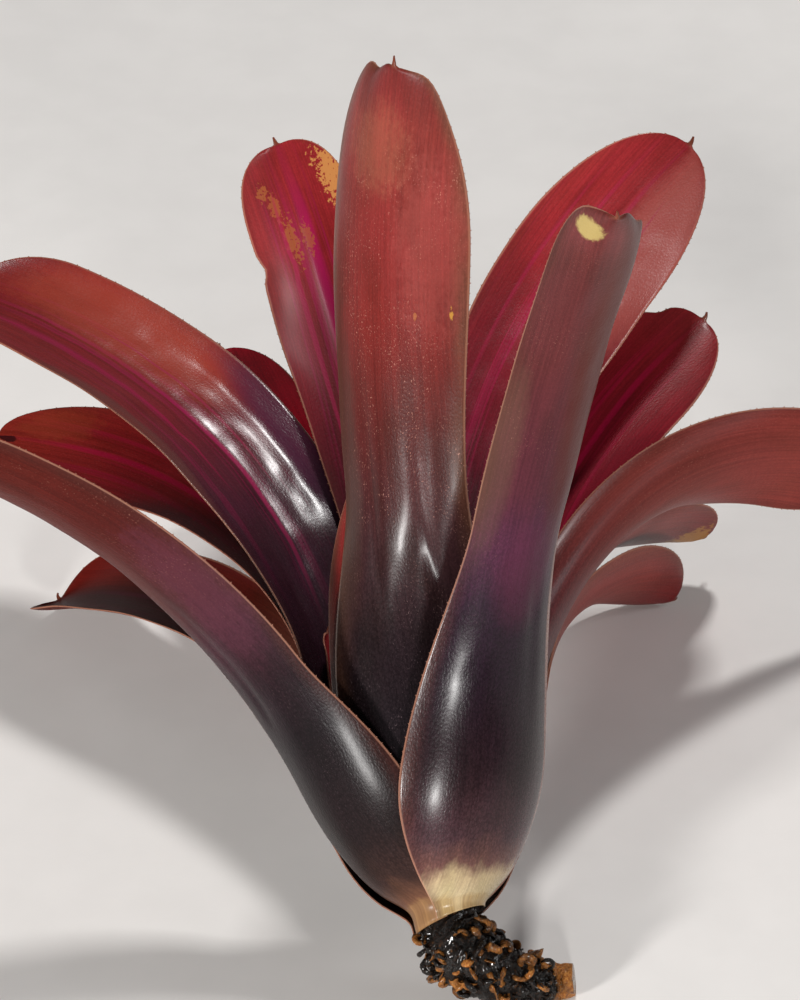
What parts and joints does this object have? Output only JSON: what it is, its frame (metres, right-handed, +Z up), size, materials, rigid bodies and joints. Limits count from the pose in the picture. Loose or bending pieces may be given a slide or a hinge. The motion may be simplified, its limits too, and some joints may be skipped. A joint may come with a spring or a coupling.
{
  "type": "neoregelia bromeliad",
  "caption": "Bare-root bromeliad lying on its back leaves: red and purple strap leaves spiral from a small cup, above a short dark rootstock with curled roots.",
  "frame": {"origin": "on the supporting surface, at the flat spot under the cut runner that the plant rests on", "axes": "+Z up from the supporting surface, -Y the side that the rootstock points to and the picture is taken from, +X the plant's right as seen from there; the stem leans back towards +Y"},
  "size_m": [0.2306, 0.2112, 0.207],
  "materials": {
    "rootstock": "rough, damp",
    "leaf_01_low_right": "satin",
    "leaf_02_low_left": "satin",
    "leaf_03_front_right": "satin",
    "leaf_04_right_tipped": "satin",
    "leaf_05_back_crimson": "satin",
    "leaf_06_front_left": "satin",
    "leaf_07_right": "satin",
    "leaf_08_left": "satin",
    "leaf_09_front_middle": "satin",
    "leaf_10_right_crimson": "satin",
    "leaf_11_upper_left": "satin",
    "leaf_12_inner_front": "satin",
    "leaf_13_back_left": "satin",
    "leaf_14_inner_left": "satin",
    "leaf_15_inner_right": "satin",
    "leaf_16_back_right": "satin",
    "leaf_17_young": "satin",
    "leaf_18_young": "satin",
    "leaf_19_heart": "satin"
  },
  "bodies": {
    "root": {"rootstock": "rootstock", "leaf_01_low_right": "leaf_01_low_right", "leaf_02_low_left": "leaf_02_low_left", "leaf_03_front_right": "leaf_03_front_right", "leaf_04_right_tipped": "leaf_04_right_tipped", "leaf_05_back_crimson": "leaf_05_back_crimson", "leaf_06_front_left": "leaf_06_front_left", "leaf_07_right": "leaf_07_right", "leaf_08_left": "leaf_08_left", "leaf_09_front_middle": "leaf_09_front_middle", "leaf_10_right_crimson": "leaf_10_right_crimson", "leaf_11_upper_left": "leaf_11_upper_left", "leaf_12_inner_front": "leaf_12_inner_front", "leaf_13_back_left": "leaf_13_back_left", "leaf_14_inner_left": "leaf_14_inner_left", "leaf_15_inner_right": "leaf_15_inner_right", "leaf_16_back_right": "leaf_16_back_right", "leaf_17_young": "leaf_17_young", "leaf_18_young": "leaf_18_young", "leaf_19_heart": "leaf_19_heart"}
  },
  "joints": []
}
